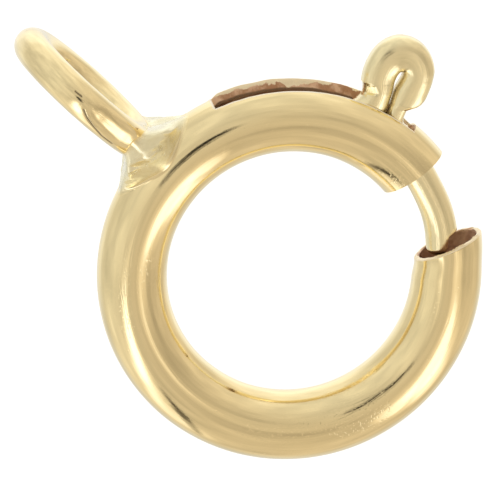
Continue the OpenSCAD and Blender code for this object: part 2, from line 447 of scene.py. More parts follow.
def solder_gold(nodes):
    """Lumps of noise carry the colour, the relief and the matt places, all times spread, so that they fade
    out towards the rims. Pits are the tops of a finer noise."""
    place = nodes.place()
    spread = nodes.attribute("spread")
    lumps = nodes.noise(place, 2600.0, 2.0)
    pits = nodes.step(nodes.noise(place, 7000.0, 0.0), 0.76, 0.80) * spread
    matt = spread * nodes.step(lumps, 0.66, 0.42)
    tint = nodes.blend(spread, SOLDER_RIM, nodes.blend(lumps, DULL_SOLDER, LIGHT_SOLDER))
    rough = 0.06 + spread * 0.05 + matt * 0.10 + pits * 0.2
    normal = nodes.bump(0.3, LUMPY, lumps * 1.2 * spread - pits)
    return {"Base Color": tint, "Metallic": 1 - matt * 0.5, "Roughness": rough, "Normal": normal}


# %% [markdown]
# ## Bare copper, cut edges and steel
# The wall's copper alloy is a bit matt and patchy. On a cut edge, depth and ragged noise together say where
# gold is smeared over the copper, where the copper is bare, where it is painted darkest as shade from the
# bore, and where the burr begins, whose pale paint is partly a painted highlight.

# %% Copper and steel


def bare_copper(nodes):
    """Two browns in patches of noise, under a fine grain."""
    place = nodes.place()
    patches = nodes.step(nodes.noise(place, 3500.0, 3.0), 0.42, 0.62)
    grain = nodes.noise(place, 16000.0, 3.0)
    tint = nodes.blend(patches, BROWN_COPPER, PALE_COPPER)
    normal = nodes.bump(0.3, FINE, grain)
    return {"Base Color": tint, "Metallic": 0.55, "Roughness": 0.38 + grain * 0.16, "Normal": normal}


def cut_edge(nodes):
    """Torn copper, with smeared gold where depth plus noise is low, painted shade in the darkest brown where
    it is near 1, beside the bore, and the burr's pale gold, partly a painted highlight, where it is near -1."""
    place = nodes.place()
    depth = nodes.attribute("depth")
    ragged = nodes.noise(place, 4200.0, 4.0, 0.6)
    smeared = nodes.step(depth + ragged * 1.4 - nodes.noise(place, 1100.0, 1.0) * 2.2, -0.12, -0.26)
    # Painted shade: the cut's inner part, beside the bore, goes darkest brown
    painted_bore_shade = nodes.step(depth + ragged * 0.3, 0.88, 1.04)
    # The burr's pale, dull gold is partly its own finish and partly a painted highlight along the near lip
    burr_and_highlight = nodes.step(depth + nodes.noise(place, 3000.0, 2.0) * 0.8, -0.44, -0.60)
    tint = nodes.blend(nodes.step(ragged, 0.42, 0.66), TORN_COPPER, FRESH_COPPER)
    tint = nodes.blend(smeared, tint, SMEARED_GOLD)
    tint = nodes.blend(painted_bore_shade, tint, BORE_SHADE_COPPER)
    tint = nodes.blend(burr_and_highlight, tint, BURR_AND_HIGHLIGHT_GOLD)
    shine = 0.12 + smeared * 0.55 - burr_and_highlight * 0.5
    normal = nodes.bump(0.5, FINE, nodes.noise(place, 12000.0, 3.0) + smeared * 0.5)
    return {"Base Color": tint, "Metallic": shine, "Roughness": 0.3 + ragged * 0.2, "Normal": normal}


def drawn_steel(nodes):
    """Two greys in lines along the wire."""
    lines = nodes.noise(nodes.stretch(nodes.attribute("bar", out="Vector"), 1, 70, 70), 1.0, 2.0)
    tint = nodes.blend(lines, DARK_STEEL, LIGHT_STEEL)
    return {"Base Color": tint, "Metallic": 1.0, "Roughness": 0.25 + lines * 0.15}


GOLD = metal("polished_gold", polished_gold)
THUMBED_GOLD = metal("thumbed_gold", lambda nodes: polished_gold(nodes, worn=1.0))
SOLDER = metal("solder_gold", solder_gold)
COPPER = metal("bare_copper", bare_copper)
CUT = metal("cut_edge", cut_edge)
STEEL = metal("drawn_steel", drawn_steel)
print("finishes:", ", ".join(m.name for m in (GOLD, THUMBED_GOLD, SOLDER, COPPER, CUT, STEEL)))

# %% [markdown]
# ## From arrays to meshes
# All pieces are grids: rows of points, joined to the next row by quads. A grid may close on itself one way or
# both ways, and a row may close onto a single point, its pole.

# %% Grids


def quads(rows, columns):
    """The quads between neighbouring rows of a grid whose points are stored row by row. The last column joins
    the first again."""
    i = np.arange(rows - 1)[:, None]
    j = np.arange(columns)[None, :]
    k = (j + 1) % columns
    corners = [i * columns + j, (i + 1) * columns + j, (i + 1) * columns + k, i * columns + k]
    return np.stack(np.broadcast_arrays(*corners), -1).reshape(-1, 4)


def fan(ring, pole, turned=False):
    """The triangles between a closed row of points and its pole."""
    after = np.roll(ring, -1)
    pair = (after, ring) if turned else (ring, after)
    return np.stack([*pair, np.full(len(ring), pole)], -1)


def sleeve_faces(count, sides):
    """The quads between count rings of points, and the triangles that close the first and the last ring. The
    two poles are stored after the rings."""
    start = fan(np.arange(sides), count * sides, turned=True)
    end = fan((count - 1) * sides + np.arange(sides), count * sides + 1)
    return [quads(count, sides), np.concatenate([start, end])]


# %% [markdown]
# ## Making a piece
# Each piece is a closed surface. Whether its faces look outwards can be read off its volume, which comes out
# negative when they look inwards, so no face has to be tested by itself. A piece also says which body it
# rides on and which solid it stands for.

# %% A piece
# The angle between faces, in degrees, past which an edge isn't smoothed over
SHARP = 38


def volume(points, faces):
    """The signed volume inside closed faces: the sum of tetrahedra from the origin to each fan of a face."""
    total = 0.0
    for shape in faces:
        for k in range(1, shape.shape[1] - 1):
            a, b, c = points[shape[:, 0]], points[shape[:, k]], points[shape[:, k + 1]]
            total += np.einsum("ij,ij->", a, np.cross(b, c)) / 6
    return total


def piece(name, points, faces, materials, body, slot, shown_by, bar=None, **shares):
    """Makes a smooth closed piece in the frame from points in the ring's millimetres and arrays of faces.
    Each array of faces takes the material at the same place in the list. Faces are turned outwards. Bar and
    shares are the numbers that materials read: a vector, and plain numbers, for each point."""
    points = to_frame(points)
    size = volume(points, faces)
    if size < 0:
        faces = [f[:, ::-1] for f in faces]
    mesh = bpy.data.meshes.new(name)
    mesh.from_pydata(points.tolist(), [], [f for shape in faces for f in shape.tolist()])
    mesh.polygons.foreach_set("use_smooth", [True] * len(mesh.polygons))
    mesh.set_sharp_from_angle(angle=np.radians(SHARP))
    distinct = list(dict.fromkeys(materials))
    for material in distinct:
        mesh.materials.append(material)
    index = np.concatenate([np.full(len(f), distinct.index(m)) for f, m in zip(faces, materials)])
    mesh.polygons.foreach_set("material_index", index.astype(np.int32))
    if bar is not None:
        straight = mesh.attributes.new("bar", "FLOAT_VECTOR", "POINT")
        straight.data.foreach_set("vector", bar.astype(np.float32).ravel())
    for share, values in shares.items():
        mesh.attributes.new(share, "FLOAT", "POINT").data.foreach_set("value", values.astype(np.float32))
    obj = bpy.data.objects.new(name, mesh)
    bpy.context.scene.collection.objects.link(obj)
    if body:
        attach(obj, body)
    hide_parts(shown_by)
    triangles = sum(len(f) * (f.shape[1] - 2) for f in faces)
    print(f"{name}: {len(points)} points, {triangles} triangles, {abs(size) / MM ** 3:.3f} mm3")
    return obj


# %% [markdown]
# ## Curves that the pieces share
# Three small functions come back in most pieces: a point given by its angle round the ring, a smooth step,
# and an unevenness that looks random but is the same at each run.

# %% Shared curves


def polar(radius, degrees, z=0.0):
    """The point at a radius and an angle round the ring, and a height z."""
    angle = np.radians(degrees)
    return np.stack(np.broadcast_arrays(radius * np.cos(angle), radius * np.sin(angle), z), -1)


def ramp(value, start, end):
    """0 up to start, 1 from end on, and the smooth curve 3t2 - 2t3 between them."""
    t = np.clip((np.asarray(value, float) - start) / (end - start), 0, 1)
    return t * t * (3 - 2 * t)


# No wobble goes above this, so an unevenness less this much only takes metal away
WOBBLE_TOP = 1.8


def wobble(x, seed, waves=6):
    """A sum of sines of random pitch and phase, mostly from -1 to 1: a smooth and repeatable unevenness."""
    dice = np.random.default_rng(seed)
    pitch = dice.uniform(0.6, 2.6, waves)
    phase = dice.uniform(0, 2 * np.pi, waves)
    return np.sin(np.multiply.outer(x, pitch) * 2 * np.pi + phase).sum(-1) / np.sqrt(waves) / 1.4


# %% [markdown]
# ## The tube's wall
# The ring is a thin-walled tube, sawn across at its gap, with a slot cut along its outer side for the
# trigger. It could be cut out of a torus by booleans, but polished metal shows each of their slivers. Instead
# one formula gives any point of the wall from three numbers: the angle round the ring, the angle round the
# tube, and the depth in the wall. The saw left the two ends at a slant, and the catching end is bent out a
# little and worn thin. The cutter that made the slot lifted its far lip and tore it, and pressed a burr along
# the near one.

# %% The tube's wall
# Half the slot's width as an angle round the tube, at the outer and at the inner skin
LIP = np.degrees(np.arcsin(SLOT_W / 2 / TUBE_R))
LIP_IN = np.degrees(np.arcsin(SLOT_W / 2 / BORE_R))
# How far the far lip is lifted outside and inside, how far its edge leans, and how wide each reaches
LIFT, LIFT_IN, LIFT_WIDTH = 0.05, 0.03, 0.16
SLANT, SLANT_WIDTH = 0.06, 0.10
# How far the near lip is pressed in, how wide that reaches, and the depth that marks the burr
BURR, BURR_WIDTH, BURR_MARK = -0.006, 0.03, -1.0
# Over how many degrees the lips' shapes come up at the slot's start, and go before its end and past it
LIPS_COME, LIPS_GO, LIPS_PAST = 8, 3, 1.5
# Between which angles round the tube the lift fades out
LIFT_FADES = (90, 150)
# How far the catching end is bent out, the share of its wall worn off, and the whole tube's unevenness
FLARE, THINNED, RIPPLE = 0.04, 0.3, 0.0008
# Where the tube ends, and over how many degrees the shapes at both ends ease away
TUBE_END = CATCH_AT + 360
FLARE_EASE, CATCH_EASE, GUIDE_EASE = 10, 25, 8


def mouth_shift(phi, depth, skew):
    """How far, in degrees, a slanted cut lies ahead of its own angle. By the law of sines, at distance d from
    the ring's centre it is the skew less the arc sine of RING_R times the skew's sine over d."""
    radius = RING_R + (TUBE_R - depth) * np.cos(np.radians(phi))
    return skew - np.degrees(np.arcsin(RING_R * np.sin(np.radians(skew)) / radius))


def between_lips(phi, inward):
    """Phi eased over to the slot's lips, which are straight planes through both skins: the angle as it then
    is, and the lip's own angle at that depth."""
    bent = (phi + 180) % 360 - 180
    at_lip = LIP + (LIP_IN - LIP) * inward
    beyond = at_lip + (np.abs(bent) - LIP) * (180 - at_lip) / (180 - LIP)
    return np.sign(bent) * np.where(np.abs(bent) <= LIP, np.abs(bent) * at_lip / LIP, beyond), at_lip


def wall_point(theta, phi, depth):
    """A point of the wall. Phi goes round the tube from the outermost line. The angle round the ring is eased
    over to the slanted cuts at both ends. The far lip, where phi is below 0, rises by LIFT and leans by
    SLANT, and the near one sinks by BURR, each times exp(-distance from the lip / its width)."""
    inward = depth / WALL
    mouth = ramp(theta, TUBE_END - FLARE_EASE, TUBE_END)
    depth = depth * (1 - THINNED * mouth)
    ahead = theta + mouth_shift(phi, depth, GUIDE_SKEW) * (1 - ramp(theta, GUIDE_AT, GUIDE_AT + GUIDE_EASE))
    ahead = ahead + mouth_shift(phi, depth, CATCH_SKEW) * ramp(theta, TUBE_END - CATCH_EASE, TUBE_END)
    bent, at_lip = between_lips(phi, inward)
    radius = TUBE_R - depth
    distance = np.maximum((np.abs(bent) - at_lip) * np.pi / 180 * radius, 0)
    along = ramp(theta, SLOT_AT, SLOT_AT + LIPS_COME)
    along = along * (1 - ramp(theta, SLOT_END - LIPS_GO, SLOT_END + LIPS_PAST))
    lifted = (LIFT + (LIFT_IN - LIFT) * inward) * (1 + 0.10 * wobble(theta / 17, 5)) * (bent < 0)
    lifted = lifted * along * np.exp(-distance / LIFT_WIDTH) * (1 - ramp(np.abs(bent), *LIFT_FADES))
    pressed = BURR * (1 + 0.5 * wobble(theta / 12, 8)) * (bent > 0) * np.exp(-distance / BURR_WIDTH)
    raised = lifted + pressed * along
    radius = radius + RIPPLE * (wobble(theta / 60 + np.sin(np.radians(bent)) / 3, 21) - WOBBLE_TOP)
    out = RING_R + FLARE * mouth + radius * np.cos(np.radians(bent)) + raised
    slant = SLANT * (1 - inward) * along * (bent < 0) * np.exp(-distance / SLANT_WIDTH)
    return polar(out, ahead, radius * np.sin(np.radians(bent)) + 0.3 * raised * np.sign(bent) - slant)


# %% [markdown]
# ## The tube's grid
# The outer and the inner skin are the same grid at two depths, both with the slot's cells left out. Its
# samples, along the ring and round the tube, lie closer together beside each edge, where the wall bends most.

# %% The tube's grid
# Distances of the closest samples from an edge, in millimetres
EDGE = np.array([0, 0.012, 0.03, 0.07])


def samples(*runs):
    """Joined runs of evenly spaced numbers, each given as start, end and how many steps."""
    return np.unique(np.round(np.concatenate([np.linspace(a, b, n + 1) for a, b, n in runs]), 6))


# Between the close samples lie runs of even ones, whose ends keep a degree or two clear of them
edge_theta = np.degrees(EDGE / RING_OUT)
edge_phi = np.degrees(EDGE / TUBE_R)
thetas = np.unique(np.round(np.concatenate([
    GUIDE_AT + edge_theta, samples((GUIDE_AT + 1.8, SLOT_AT - 1.8, 9)),
    SLOT_AT - edge_theta, SLOT_AT + edge_theta, samples((SLOT_AT + 1.7, SLOT_END - 1.7, 150)),
    SLOT_END - edge_theta, SLOT_END + edge_theta, samples((SLOT_END + 2, TUBE_END - 1.6, 230)),
    TUBE_END - edge_theta]), 6))
phis = np.unique(np.round(np.concatenate([
    samples((0, LIP - 9, 5)), LIP - edge_phi, LIP + edge_phi, samples((LIP + 10, 180, 40))]), 6))
phis = np.concatenate([-phis[:0:-1], phis])[1:]
rows, columns = len(thetas), len(phis)
first, last = np.searchsorted(thetas, [round(SLOT_AT, 6), round(SLOT_END, 6)])
low, high = np.searchsorted(phis, [round(-LIP, 6), round(LIP, 6)])
kept = np.ones((rows - 1, columns), bool)
kept[first:last, low:high] = False
print("skins of", rows, "x", columns, "points, the slot's", last - first, "x", high - low, "cells left out")

# %% [markdown]
# ## The edges of the wall
# Three closed edges join the two skins: the two mouths, and the slot's. Each is a narrow strip of points that
# swells out a little in the middle, so the edge is rounded, and that sine waves tear unevenly. Beside the
# near lip and at the slot's end, the cut's finish goes on over two cells of the outer skin: that is the burr,
# painted pale, partly as a highlight along the lip.

# %% The tube's edges
STRIP_STEPS = 5
# The shares of the wall's depth at which a strip has its points
THROUGH = np.linspace(0, 1, STRIP_STEPS + 2)[1:-1, None]
BURR_CELLS = 2
# How far the edges swell out, and on average are torn, in millimetres
SWELL, CATCH_SWELL = 0.006, 0.008
FAR_TORN, NEAR_TORN, CATCH_TORN = 0.004, 0.009, 0.014


def edge_strip(i, j, along_theta, along_phi, swell, torn):
    """The points between the skins beside grid points i, j, at shares q of the wall's depth: swollen out
    along the given directions by the rounded shape (1 - |2q - 1|^4)^(1/4), upright at both skins."""
    out = (1 - np.abs(2 * THROUGH - 1) ** 4) ** 0.25 * (swell + torn)
    theta = thetas[i] + along_theta * np.degrees(out / RING_OUT)
    phi = phis[j] + along_phi * np.degrees(out / TUBE_R)
    return wall_point(theta, phi, THROUGH * WALL + 0 * theta)


def mouths():
    """The guiding and the catching mouth, each as the arguments of edge_strip, its marks of depth, and
    whether its faces are turned round."""
    around = np.arange(columns)
    marks = THROUGH * 0.5 - 0.35 + 0 * around
    torn = CATCH_TORN * (1 + wobble(around / 2.2, 7))
    guiding = (np.full(columns, 0), around, -1.0, 0.0, SWELL, 0.0)
    catching = (np.full(columns, rows - 1), around, 1.0, 0.0, CATCH_SWELL, torn)
    return [(guiding, marks, False), (catching, marks, True)]


def slot_edge():
    """The slot's edge as one loop, along the far lip, across its end, back along the near lip and across its
    start, given as the mouths are."""
    lip, across = np.arange(first, last + 1), np.arange(low, high + 1)
    i = np.concatenate([lip, np.full(len(across) - 1, last), lip[::-1][1:], np.full(len(across) - 2, first)])
    j = np.concatenate([np.full(len(lip), low), across[1:], np.full(len(lip) - 1, high), across[::-1][1:-1]])
    along_theta = 1.0 * (i == first) - 1.0 * (i == last)
    along_phi = 1.0 * (j == low) - 1.0 * (j == high)
    torn = FAR_TORN * (1 + wobble(np.arange(len(i)) / 5, 3)) * (j == low)
    torn = torn + NEAR_TORN * (1 + 0.3 * wobble(np.arange(len(i)) / 9, 4)) * (j == high)
    marks = np.where((j == high) | (i == last), BURR_MARK + 0.7 * THROUGH ** 2, THROUGH)
    return (i, j, along_theta, along_phi, SWELL, torn), marks, True


def burr_cells():
    """The outer skin's cells that the burr covers, and the marks of depth at its points."""
    covered = np.zeros((rows - 1, columns), bool)
    covered[first:last, high:high + BURR_CELLS] = True
    covered[last:last + BURR_CELLS, low:high] = True
    marks = np.zeros((rows, columns))
    marks[first:last + 1, high:high + BURR_CELLS + 1] = BURR_MARK
    marks[last:last + BURR_CELLS + 1, low:high + BURR_CELLS + 1] = BURR_MARK
    return covered, marks


def tube():
    """Outer skin, inner skin and the strips between them, without the slot's points, which no face uses."""
    theta, phi = np.meshgrid(thetas, phis, indexing="ij")
    count = rows * columns
    cells = quads(rows, columns).reshape(rows - 1, columns, 4)
    covered, marks = burr_cells()
    points = [wall_point(theta, phi, np.full_like(theta, depth)).reshape(-1, 3) for depth in (0.0, WALL)]
    depths = [marks.ravel(), np.ones(count)]
    faces = [cells[kept & ~covered], cells[covered], (cells[kept] + count)[:, ::-1]]
    materials = [GOLD, CUT, COPPER]
    for edge, marks, turned in [*mouths(), slot_edge()]:
        start = sum(len(p) for p in points)
        strip = edge_strip(*edge)
        outer = edge[0] * columns + edge[1]
        between = start + np.arange(STRIP_STEPS * len(outer)).reshape(STRIP_STEPS, -1)
        lines = np.vstack([outer, between, outer + count])
        after = np.roll(lines, -1, axis=1)
        strip_faces = np.stack([lines[:-1], after[:-1], after[1:], lines[1:]], -1).reshape(-1, 4)
        points.append(strip.reshape(-1, 3))
        depths.append(marks.ravel())
        faces.append(strip_faces[:, ::-1] if turned else strip_faces)
        materials.append(CUT)
    points = np.concatenate(points)
    used = np.zeros(len(points), bool)
    for f in faces:
        used[f] = True
    fresh = np.cumsum(used) - 1
    on_strips = np.zeros(len(points) - 2 * count)
    section = np.concatenate([phi.ravel(), phi.ravel(), on_strips])
    run = np.concatenate([theta.ravel(), theta.ravel(), on_strips])
    bar = polar(TUBE_R, section)[:, [2, 0, 1]] + np.stack([run * np.pi / 180 * RING_R, run * 0, run * 0], -1)
    return points[used], [fresh[f] for f in faces], materials, bar[used], np.concatenate(depths)[used]


tube_points, tube_faces, tube_materials, tube_bar, tube_depth = tube()
piece("ring_tube", tube_points, tube_faces, tube_materials, "clasp_ring", "gold", "ring_body", tube_bar,
      depth=tube_depth)

# %% [markdown]
# ## Round wire along a path
# The plug and the coil are round bars. Such a bar is a circle carried along a spine: each ring of points lies
# round the spine's point, in the plane across it. Blender's own curves with a bevel would do it too, but they
# don't give the place along the bar, which the finish needs.

# %% Wire


def wire(spine, side, up, radius, sides=48):
    """Rings of points: the spine, plus side times the radius times the cosine, plus up times the radius times
    the sine, with a pole at each end. Returns points, faces and bar."""
    turned = np.radians(np.arange(sides) * 360 / sides)
    across, over = radius * np.cos(turned), radius * np.sin(turned)
    rings = spine[:, None] + side[:, None] * across[:, None] + up[:, None] * over[:, None]
    run = np.concatenate([[0], np.cumsum(np.linalg.norm(np.diff(spine, axis=0), axis=1))])
    bar = np.stack(np.broadcast_arrays(run[:, None], across, over), -1).reshape(-1, 3)
    points = np.concatenate([rings.reshape(-1, 3), spine[:1], spine[-1:]])
    bar = np.concatenate([bar, [[0, 0, 0]], [[run[-1], 0, 0]]])
    return points, sleeve_faces(len(spine), sides), bar


# %% [markdown]
# ## The chain eye
# The eye is a closed ring of round wire that stands across the clasp's ring. It is let a little into the
# tube's wall, where the solder holds it. Its shape is a torus, but a hammered flat is pressed into it, and a
# seam and a short mark are scored into that. Each is a shallow trough along a line, so the torus only needs a
# radius that varies. The scored lines are also darkened in colour: dirt, with painted shade.

# %% Chain eye
# Angle round the eye and angle round its wire, in degrees, of the points that each scored line runs through,
# and its depth
SCORED = [
    ([(97, -14), (92, -27), (85, -37), (75, -47), (64, -46)], 0.007),
    ([(109, 12), (104, 13)], 0.005),
]
SCORE_WIDTH = 0.013
# The line along which the flat was hammered, its depth and its half width
FLAT_LINE, FLAT_DEPTH, FLAT_WIDTH = [(84, 6), (72, 4), (60, 3)], 0.0225, 0.115
# The eye's unevenness, and how dark the dirt and painted shade in the scored lines are
EYE_RIPPLE, SCORE_DIRT_AND_SHADE = 0.0012, 1.3


def from_line(u, v, line):
    """The distance of each point u, v from a chain of straight pieces: the least of those from each."""
    nearest = np.full(u.shape, np.inf)
    for (u0, v0), (u1, v1) in zip(line[:-1], line[1:]):
        du, dv = u1 - u0, v1 - v0
        t = np.clip(((u - u0) * du + (v - v0) * dv) / (du * du + dv * dv), 0, 1)
        nearest = np.minimum(nearest, np.hypot(u - u0 - t * du, v - v0 - t * dv))
    return nearest


def eye():
    """A torus about the y axis: a circle of radius EYE_R in the x-z plane, with a section of the wire's
    radius, less the depth of each trough times exp(-(distance from its line / its width)^2). Samples lie
    closer near the lines."""
    angle = samples((-180, 50, 110), (50, 120, 230), (120, 180, 30))[:-1]
    section = samples((-180, -60, 26), (-60, 25, 76), (25, 180, 34))[:-1]
    arc = np.radians([EYE_R, EYE_WIRE_R])
    u, v = np.meshgrid(angle * arc[0], section * arc[1], indexing="ij")
    near = [np.exp(-(from_line(u, v, np.array(line) * arc) / SCORE_WIDTH) ** 2) for line, _ in SCORED]
    depth = sum(deep * share for share, (_, deep) in zip(near, SCORED))
    depth = depth + FLAT_DEPTH * np.exp(-(from_line(u, v, np.array(FLAT_LINE) * arc) / FLAT_WIDTH) ** 2)
    radius = EYE_WIRE_R - depth + EYE_RIPPLE * (wobble(u * 1.3 + v * 2, 31) - WOBBLE_TOP)
    points = on_eye(section, angle[:, None], radius)
    count, sides = points.shape[:2]
    faces = quads(count + 1, sides) % (count * sides)
    bar = np.stack([u, radius * np.cos(v / EYE_WIRE_R), radius * np.sin(v / EYE_WIRE_R)], -1)
    # The scored lines are darkened: dirt with painted shade
    grime = np.minimum(SCORE_DIRT_AND_SHADE * sum(near), 1)
    return points.reshape(-1, 3), [faces], bar.reshape(-1, 3), grime.ravel()


def on_eye(section, angle, radius):
    """The point of the eye's surface at an angle round the eye, from the side next to the ring, and an angle
    round its wire, from the wire's outer side, where the wire has the given radius."""
    a, s = np.radians(angle), np.radians(section)
    out = EYE_R + radius * np.cos(s)
    return np.stack(np.broadcast_arrays(-EYE_AT + out * np.cos(a), radius * np.sin(s), out * np.sin(a)), -1)


eye_points, eye_faces, eye_bar, eye_grime = eye()
piece("chain_eye", eye_points, eye_faces, [GOLD], "clasp_ring", "gold", "ring_body", eye_bar, grime=eye_grime)

# %% [markdown]
# ## The solder
# Molten solder creeps up both pieces and sets in a hollow curve that runs smoothly into each. A fillet by
# bevel needs the two pieces to be one mesh, so here its skin is a sleeve between one closed curve on the ring
# and one on the eye's wire. Each line of the sleeve is a Hermite curve, which is given by its two ends and by
# the direction in which it leaves each of them, along that piece's own surface. The solder is fuller on some
# sides than on others, and two low crests that run down it catch the light.

# %% Solder
# Half the length along the ring and half the height across it, in millimetres
SOLDER_ON_RING = (0.80, 0.51)
# Half the angle round the eye's wire, and the angles round the eye that the solder reaches up and down
SOLDER_ON_EYE = (98.0, 54.0, 42.0)
# How hard the Hermite curves leave the ring and the eye
PULL_RING, PULL_EYE = 0.58, 0.36
# The sleeve's lines and its points on each, how far it starts above both surfaces, how deep its ends are
# sunk, and the share of a rim's size by which it is widened to find the direction along the surface
SLEEVE_LINES, SLEEVE_STEPS = 96, 40
SKIN, SUNK, NUDGE = 0.001, 0.05, 0.02
# How uneven the rims are, as a share of their size, and how high the lumps are, in millimetres
RIM_UNEVEN, LUMP = 0.05, 0.007
# How much fuller the sleeve is all round, and then on each side: clock angle round it, half width in degrees,
# and how much, in millimetres. The last three are the two crests and the furrow between them.
FULL = 0.05
FULLER = [
    (50, 28, 0.06),
    (140, 32, 0.08),
    (-40, 40, 0.04),
    (98, 26, 0.03),
    (93, 7, 0.014),
    (110, 8, -0.010),
    (127, 8, 0.016),
]


def on_ring(y, z, depth):
    """The point of the ring's outer side, on the eye's side, at y and z, and so deep under the surface: its
    distance from the axis is the centre line's radius plus the tube's half width at that z."""
    radius = TUBE_R - depth
    out = RING_R + np.sqrt(np.maximum(radius ** 2 - z ** 2, 1e-9))
    return np.stack(np.broadcast_arrays(-np.sqrt(out ** 2 - y ** 2), y, z), -1)


def hermite(t, start, leave, end, arrive):
    """The cubic that goes from start to end as t goes from 0 to 1, with these slopes at the two ends."""
    return ((2 * t ** 3 - 3 * t ** 2 + 1) * start + (t ** 3 - 2 * t ** 2 + t) * leave
            + (3 * t ** 2 - 2 * t ** 3) * end + (t ** 3 - t ** 2) * arrive)


def solder():
    """The sleeve, its ends sunk under both surfaces and closed there by a pole each. Each row of FULLER adds
    its amount times exp(-(angle from its clock angle / half width)^2), most in the middle of the lines."""
    clock = np.radians(np.arange(SLEEVE_LINES) * 360 / SLEEVE_LINES)
    cos, sin = np.cos(clock), np.sin(clock)

    def near_clock(at, width):
        return np.exp(-(((np.degrees(clock) - at + 180) % 360 - 180) / width) ** 2)

    uneven = 1 + RIM_UNEVEN * wobble(np.sin(clock) + 0.5 * np.cos(2 * clock), 11)
    # The solder reaches further along the ring on the side away from the trigger
    y = (SOLDER_ON_RING[0] + 0.05 * near_clock(160, 40)) * cos * uneven
    z = SOLDER_ON_RING[1] * sin
    start = on_ring(y, z, -SKIN)
    leave = on_ring(y * (1 - NUDGE), z * (1 - NUDGE), -SKIN) - start
    section = SOLDER_ON_EYE[0] * cos * uneven
    angle = np.where(sin > 0, SOLDER_ON_EYE[1], SOLDER_ON_EYE[2]) * sin
    end = on_eye(section, angle, EYE_WIRE_R + SKIN)
    arrive = on_eye(section * (1 + NUDGE), angle * (1 + NUDGE), EYE_WIRE_R + SKIN) - end
    # It also leaves the ring harder on that side, and more softly on top
    pull = PULL_RING + 0.10 * near_clock(185, 50)[:, None] - 0.16 * near_clock(95, 40)[:, None]
    leave = pull * leave / np.linalg.norm(leave, axis=-1, keepdims=True)
    arrive = PULL_EYE * arrive / np.linalg.norm(arrive, axis=-1, keepdims=True)
    t = np.linspace(0, 1, SLEEVE_STEPS)[:, None, None]
    full = FULL
    for at, width, amount in FULLER:
        full = full + amount * near_clock(at, width)
    lumps = LUMP * wobble(t[..., 0] * 2.2 + cos * 0.9, 13) * (1 + wobble(t[..., 0] + sin * 1.4, 14))
    bulge = np.sin(np.pi * t) ** 2 * (full + lumps)[..., None]
    sleeve = hermite(t, start, leave, end, arrive) + bulge * np.stack([0 * cos, cos, sin], -1)
    shares = np.linspace(1, 0.1, 6)
    under_ring = [on_ring(y * s, z * s, SUNK) for s in shares[::-1]]
    under_eye = [on_eye(section * s, angle * s, EYE_WIRE_R - SUNK) for s in shares]
    rings = np.stack([*under_ring, *sleeve, *under_eye])
    count, sides = rings.shape[:2]
    middle = np.zeros(1)
    poles = [on_ring(middle, middle, SUNK), on_eye(middle, middle, EYE_WIRE_R - SUNK)]
    points = np.concatenate([rings.reshape(-1, 3), *poles])
    shown = np.repeat(ramp(t.ravel(), 0, 0.22) * ramp(1 - t.ravel(), 0, 0.2), sides)
    buried = np.zeros(len(shares) * sides)
    return points, sleeve_faces(count, sides), np.concatenate([buried, shown, buried, [0, 0]])


solder_points, solder_faces, solder_spread = solder()
piece("eye_solder", solder_points, solder_faces, [SOLDER, SOLDER], "clasp_ring", "gold", "ring_body",
      spread=solder_spread)

# %% [markdown]
# ## The plug
# A short stopper is soldered inside the tube, and the coil pushes on it. Nobody sees it, so it is a plain bar
# that follows the ring's centre line, half a wall thicker than the bore.

# %% Plug
PLUG_AT, PLUG_ANGLE = 252.0, 10.0


def ring_spine(start, end, steps):
    """Points on the ring's centre line between two angles, with the outward and upright directions there."""
    angle = np.linspace(start, end, steps)
    return polar(RING_R, angle), polar(1.0, angle), np.tile([0.0, 0.0, 1.0], (steps, 1))


plug_points, plug_faces, plug_bar = wire(*ring_spine(PLUG_AT, PLUG_AT + PLUG_ANGLE, 12), BORE_R + WALL / 2)
piece("spring_plug", plug_points, plug_faces, [COPPER] * 2, "clasp_ring", "gold", "ring_body", plug_bar)

# %% [markdown]
# ## The bolt
# One length of wire makes the bolt: an arc that closes the gap, a fold that stands out of the slot as the
# thumb trigger, and a tail on which the coil pushes. The fold was pressed and filed, so its wire is nowhere
# quite round. Such a shape is easiest to draw as two rails, the wire's two edges in the ring's plane, which
# run from the nose to the tail's end. Each rail is a chain of smooth runs, and a sharp corner is where one
# run ends and the next begins.

# %% The bolt's rails
TRIGGER_AT, TRIGGER_LEAN = 100.1, 12.8
# Where the outer and the inner rail take up the tail, in degrees round the ring, and where it ends
TAIL_OUTER, TAIL_INNER, TAIL_TO = 117, 109, 160.5
TAIL_POINTS = 16
ALONG = np.append(polar(1.0, TRIGGER_AT + TRIGGER_LEAN)[:2], 0)
ACROSS = np.append(polar(1.0, TRIGGER_AT + TRIGGER_LEAN + 90)[:2], 0)


def on_trigger(points):
    """Points given as (out, across): out along the trigger's axis from the tube's centre line, across towards
    the eye."""
    points = np.asarray(points, float)
    return polar(RING_R, TRIGGER_AT) + points[:, :1] * ALONG + points[:, 1:] * ACROSS


def on_arc(points):
    """Points given as (radius, degrees) round the ring."""
    points = np.asarray(points, float)
    return polar(points[:, 0], points[:, 1])


def run(points, count):
    """A smooth run through the points: Hermite pieces over the chord length, whose slope at each inner point
    is that of the line between its two neighbours. Gives count + 1 evenly spaced points."""
    at = np.concatenate([[0], np.cumsum(np.linalg.norm(np.diff(points, axis=0), axis=1))])
    if len(at) > 2:
        slope = np.gradient(points, at, axis=0)
    else:
        slope = np.repeat(np.diff(points, axis=0) / at[-1], 2, axis=0)
    where = np.linspace(0, at[-1], count + 1)
    k = np.clip(np.searchsorted(at, where, "right") - 1, 0, len(at) - 2)
    gap = (at[k + 1] - at[k])[:, None]
    t = (where[:, None] - at[k][:, None]) / gap
    return hermite(t, points[k], gap * slope[k], points[k + 1], gap * slope[k + 1])


# How many steps each run takes, on both rails: the arc to the slot, the trigger, and the tail
STEPS = [34, 10, 60, 14, 8, 10, 26, 80, 20, 4, 12, 24, 60]


